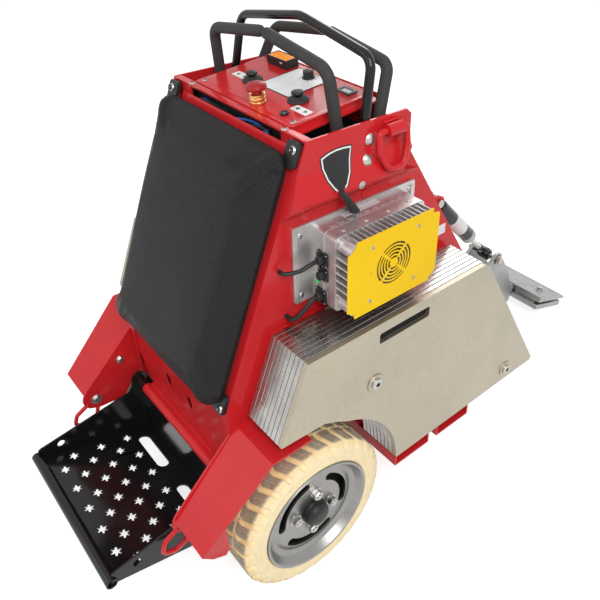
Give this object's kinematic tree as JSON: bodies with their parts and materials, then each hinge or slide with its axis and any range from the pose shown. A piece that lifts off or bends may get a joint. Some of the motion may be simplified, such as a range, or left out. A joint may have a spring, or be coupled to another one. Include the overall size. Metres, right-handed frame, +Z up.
{
  "type": "stand-on battery floor stripper",
  "caption": "Ride-on floor scraper: wedge-shaped body with side weights, rear step, back pad, control panel, two drive wheels and a hydraulic blade arm.",
  "frame": {"origin": "bottom centre of the bounding box, on the ground", "axes": "+X forward to the blade, +Y to the operator's left, +Z up"},
  "size_m": [1.6226, 0.6744, 1.0874],
  "materials": {
    "red_paint": "gloss powder coat",
    "black_paint": "gloss",
    "zinc_plate": "mottled zinc plating, lightly scratched",
    "bright_steel": "zinc plated",
    "cast_alloy": "cast, satin",
    "yellow_paint": "satin",
    "black_plastic": "fine grain",
    "grip_rubber": "matte",
    "tyre_rubber": "matte, cream",
    "pad_vinyl": "woven-emboss vinyl",
    "brass": "polished",
    "stop_red": "satin"
  },
  "bodies": {
    "machine": {"arm_bracket": "red_paint", "back_pad": "pad_vinyl", "battery_gauge": "black_plastic", "battery_pack": "black_plastic", "charger_cable_lower": "black_plastic", "charger_cable_upper": "black_plastic", "charger_fan_cover": "yellow_paint", "charger_fin_block": "cast_alloy", "charger_housing": "cast_alloy", "chassis_plate": "red_paint", "control_panel": "red_paint", "cross_channels": "red_paint", "cylinder_mount": "red_paint", "estop_collar": "brass", "fender_left": "red_paint", "fender_right": "red_paint", "front_cover": "red_paint", "gear_motor_left": "black_paint", "gear_motor_right": "black_paint", "guard_loop": "black_paint", "hour_meter": "black_plastic", "hydraulic_unit": "black_paint", "joystick_boot_left": "grip_rubber", "joystick_boot_right": "grip_rubber", "outer_weight_plate_left": "zinc_plate", "outer_weight_plate_right": "zinc_plate", "pad_board": "black_plastic", "pad_top_bar": "red_paint", "platform_hinge_tube": "red_paint", "rear_lower_panel": "red_paint", "rear_top_rail": "red_paint", "side_plate_left": "red_paint", "side_plate_right": "red_paint", "weight_stack_left": "zinc_plate", "weight_stack_right": "zinc_plate"},
    "wheel_left": {"tyre_left": "tyre_rubber", "wheel_rim_left": "cast_alloy"},
    "wheel_right": {"tyre_right": "tyre_rubber", "wheel_rim_right": "cast_alloy"},
    "platform": {"platform_tray": "black_paint"},
    "lever_left": {"drive_lever_left": "grip_rubber"},
    "lever_right": {"drive_lever_right": "grip_rubber"},
    "stop_button": {"estop_button": "stop_red"},
    "stick_left": {"joystick_left": "black_plastic"},
    "stick_right": {"joystick_right": "black_plastic"},
    "knob": {"speed_knob": "black_plastic"},
    "key": {"key_switch": "bright_steel"},
    "ring_left": {"d_ring_left": "red_paint"},
    "ring_right": {"d_ring_right": "red_paint"},
    "fan": {"charger_fan": "black_plastic"},
    "arm": {"lift_arm": "bright_steel"},
    "barrel": {"cylinder_barrel": "black_paint"},
    "rod": {"cylinder_rod": "bright_steel"},
    "blade_head": {"blade_clamp_upper": "bright_steel", "blade_clamp_lower": "bright_steel"}
  },
  "joints": [
    {"name": "wheel_left_spin", "type": "hinge", "parent": "machine", "child": "wheel_left", "pos_m": [-0.41375, 0.276, 0.175], "axis": [0, 1, 0], "continuous": true},
    {"name": "wheel_right_spin", "type": "hinge", "parent": "machine", "child": "wheel_right", "pos_m": [-0.41375, -0.276, 0.175], "axis": [0, 1, 0], "continuous": true},
    {"name": "platform_fold", "type": "hinge", "parent": "machine", "child": "platform", "pos_m": [-0.54175, 0, 0.255], "axis": [0, 1, 0], "range_deg": [0, 75]},
    {"name": "lever_left_tilt", "type": "hinge", "parent": "machine", "child": "lever_left", "pos_m": [-0.20075, 0.187, 0.797], "axis": [0, 1, 0], "range_deg": [-6, 6], "stiffness_Nm_per_rad": 14},
    {"name": "lever_right_tilt", "type": "hinge", "parent": "machine", "child": "lever_right", "pos_m": [-0.20075, -0.187, 0.797], "axis": [0, 1, 0], "range_deg": [-6, 6], "stiffness_Nm_per_rad": 14},
    {"name": "stop_press", "type": "slide", "parent": "machine", "child": "stop_button", "axis": [0.0995, 0, -0.995], "range_m": [0, 0.005]},
    {"name": "stick_left_tilt", "type": "hinge", "parent": "machine", "child": "stick_left", "pos_m": [-0.25075, 0.068, 0.95307], "axis": [0, 1, 0], "range_deg": [-10, 10], "stiffness_Nm_per_rad": 0.08},
    {"name": "stick_right_tilt", "type": "hinge", "parent": "machine", "child": "stick_right", "pos_m": [-0.25075, -0.079, 0.95307], "axis": [0, 1, 0], "range_deg": [-10, 10], "stiffness_Nm_per_rad": 0.08},
    {"name": "knob_turn", "type": "hinge", "parent": "machine", "child": "knob", "pos_m": [-0.17275, -0.012, 0.95997], "axis": [-0.0995, 0, 0.995], "range_deg": [-135, 135]},
    {"name": "key_turn", "type": "hinge", "parent": "machine", "child": "key", "pos_m": [-0.30275, -0.106, 0.94697], "axis": [-0.0995, 0, 0.995], "range_deg": [0, 90]},
    {"name": "ring_left_swing", "type": "hinge", "parent": "machine", "child": "ring_left", "pos_m": [-0.15125, 0.2308, 0.9195], "axis": [1, 0, 0], "range_deg": [0, 150]},
    {"name": "ring_right_swing", "type": "hinge", "parent": "machine", "child": "ring_right", "pos_m": [-0.15125, -0.2308, 0.9195], "axis": [-1, 0, 0], "range_deg": [0, 150]},
    {"name": "fan_spin", "type": "hinge", "parent": "machine", "child": "fan", "pos_m": [-0.21875, -0.29, 0.702], "axis": [0, 1, 0], "continuous": true},
    {"name": "arm_lift", "type": "hinge", "parent": "machine", "child": "arm", "pos_m": [0.28625, 0, 0.205], "axis": [0, -1, 0], "range_deg": [0, 18]},
    {"name": "barrel_tilt", "type": "hinge", "parent": "machine", "child": "barrel", "pos_m": [0.24125, 0, 0.54], "axis": [0, -1, 0], "range_deg": [-1, 7]},
    {"name": "rod_slide", "type": "slide", "parent": "barrel", "child": "rod", "axis": [0.6927, 0, -0.7212], "range_m": [-0.075, 0.002]},
    {"name": "head_swivel", "type": "hinge", "parent": "arm", "child": "blade_head", "pos_m": [0.63125, 0, 0.076], "axis": [0.9455, 0, -0.3256], "range_deg": [-10, 10]}
  ],
  "couplings": [
    {"joint": "barrel_tilt", "follows": "arm_lift", "ratio": 0.26142},
    {"joint": "rod_slide", "follows": "arm_lift", "m_per_rad": -0.20831}
  ]
}
